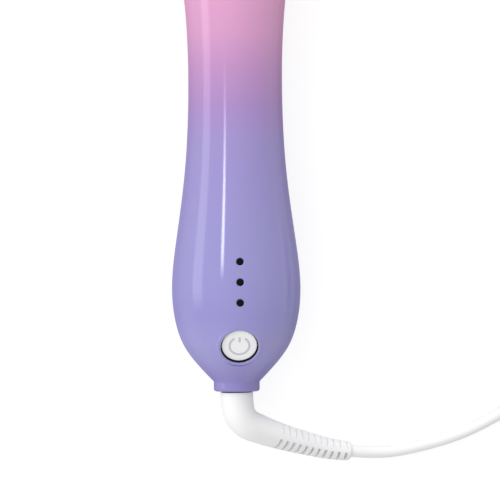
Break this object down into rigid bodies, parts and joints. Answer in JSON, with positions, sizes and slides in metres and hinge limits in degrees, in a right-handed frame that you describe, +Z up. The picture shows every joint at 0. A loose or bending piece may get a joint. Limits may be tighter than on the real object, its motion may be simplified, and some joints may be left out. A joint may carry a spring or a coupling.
{
  "type": "rotating curling iron",
  "caption": "Corded hair curling iron with a waisted round handle, push buttons, a motor-turned heated barrel with a sprung clamp, and a swivel cord.",
  "frame": {"origin": "on the surface that the iron lies on, under the middle of its length and width, cord left out", "axes": "+Y along the iron towards its tip, +Z up, out of the side with the buttons, +X to the right"},
  "size_m": [0.202, 0.3957, 0.0488],
  "materials": {
    "handle_gloss": "high gloss lacquer, violet that fades to pink",
    "white_gloss": "gloss",
    "lens_dark": "gloss",
    "board_green": "satin",
    "component_black": "matt",
    "light_clear": "gloss",
    "ferrite": "matt",
    "steel": "brushed",
    "acetal": "satin",
    "bearing_bronze": "satin",
    "nylon_black": "satin",
    "contact_brass": "polished",
    "carbon": "matt",
    "magnet_plated": "polished",
    "barrel_coat": "satin metallic coat",
    "heat_white": "satin",
    "heater_aluminium": "as cast",
    "heater_ceramic": "matt",
    "cord_white": "satin",
    "blade_plated": "polished",
    "lead_red": "satin"
  },
  "bodies": {
    "handle": {"front_shell": "handle_gloss", "rear_shell": "handle_gloss", "handle_screws": "steel", "control_panel": "white_gloss", "indicator_lenses": "lens_dark", "button_board": "board_green", "tact_switches": "component_black", "power_switch_board": "board_green", "indicator_board": "board_green", "indicator_lights": "light_clear", "main_board": "board_green", "board_screws": "steel", "transformer": "ferrite", "board_components": "component_black", "motor": "steel", "gear_housing": "nylon_black", "gearbox_cover": "nylon_black", "rear_bearing": "bearing_bronze", "home_sensor": "component_black", "brush_block": "nylon_black", "carbon_brushes": "carbon", "brush_springs": "steel", "front_bearing": "bearing_bronze", "swivel_cup": "nylon_black", "swivel_contacts": "contact_brass", "internal_leads": "lead_red"},
    "power_key": {"power_button": "white_gloss"},
    "rotate_left_key": {"rotate_left_button": "white_gloss"},
    "home_key": {"home_button": "white_gloss"},
    "rotate_right_key": {"rotate_right_button": "white_gloss"},
    "pinion": {"motor_pinion": "steel"},
    "planet_1": {"planet_gear_1": "acetal"},
    "planet_2": {"planet_gear_2": "acetal"},
    "planet_3": {"planet_gear_3": "acetal"},
    "barrel": {"planet_carrier": "steel", "slip_drum": "nylon_black", "home_magnet": "magnet_plated", "slip_rings": "contact_brass", "drive_hub": "nylon_black", "barrel_base": "heat_white", "barrel_tube": "barrel_coat", "heater_holder": "heater_aluminium", "heater_core": "heater_ceramic", "thermistor": "component_black", "heater_leads": "lead_red", "cool_tip": "heat_white", "clamp_bracket": "steel", "hinge_pin": "steel", "clamp_spring": "steel"},
    "clamp": {"clamp_blade": "barrel_coat", "clamp_lever": "heat_white", "clamp_rivets": "steel"},
    "cord_swivel": {"swivel_spool": "nylon_black", "swivel_rings": "contact_brass", "cord_boot": "cord_white", "cord_run": "cord_white", "cord_coil": "cord_white", "cord_tail": "cord_white", "plug_body": "cord_white", "plug_blades": "blade_plated"}
  },
  "joints": [
    {"name": "power_press", "type": "slide", "parent": "handle", "child": "power_key", "axis": [0, 0.5, -0.866], "range_m": [0, 0.0006], "stiffness_N_per_m": 400, "springref_m": -0.002},
    {"name": "rotate_left_press", "type": "slide", "parent": "handle", "child": "rotate_left_key", "axis": [0, 0, -1], "range_m": [0, 0.0006], "stiffness_N_per_m": 400, "springref_m": -0.002},
    {"name": "home_press", "type": "slide", "parent": "handle", "child": "home_key", "axis": [0, 0, -1], "range_m": [0, 0.0006], "stiffness_N_per_m": 400, "springref_m": -0.002},
    {"name": "rotate_right_press", "type": "slide", "parent": "handle", "child": "rotate_right_key", "axis": [0, 0, -1], "range_m": [0, 0.0006], "stiffness_N_per_m": 400, "springref_m": -0.002},
    {"name": "barrel_spin", "type": "hinge", "parent": "handle", "child": "barrel", "pos_m": [0, 0.046, 0.0241], "axis": [0, 1, 0], "continuous": true},
    {"name": "pinion_spin", "type": "hinge", "parent": "handle", "child": "pinion", "pos_m": [0, -0.034, 0.0241], "axis": [0, 1, 0], "continuous": true},
    {"name": "clamp_hinge", "type": "hinge", "parent": "barrel", "child": "clamp", "pos_m": [0, 0.066, 0.0399], "axis": [1, 0, 0], "range_deg": [0, 15], "stiffness_Nm_per_rad": 0.25, "springref_deg": -20.05, "deforming": ["clamp_spring"]},
    {"name": "cord_turn", "type": "hinge", "parent": "handle", "child": "cord_swivel", "pos_m": [0, -0.179, 0.0241], "axis": [0, -1, 0], "continuous": true},
    {"name": "planet_1_spin", "type": "hinge", "parent": "barrel", "child": "planet_1", "pos_m": [0, -0.032, 0.0316], "axis": [0, 1, 0], "continuous": true},
    {"name": "planet_2_spin", "type": "hinge", "parent": "barrel", "child": "planet_2", "pos_m": [0.0065, -0.032, 0.02035], "axis": [0, 1, 0], "continuous": true},
    {"name": "planet_3_spin", "type": "hinge", "parent": "barrel", "child": "planet_3", "pos_m": [-0.0065, -0.032, 0.02035], "axis": [0, 1, 0], "continuous": true}
  ],
  "couplings": [
    {"joint": "pinion_spin", "follows": "barrel_spin", "ratio": 5},
    {"joint": "planet_1_spin", "follows": "barrel_spin", "ratio": -2.6667},
    {"joint": "planet_2_spin", "follows": "barrel_spin", "ratio": -2.6667},
    {"joint": "planet_3_spin", "follows": "barrel_spin", "ratio": -2.6667}
  ]
}
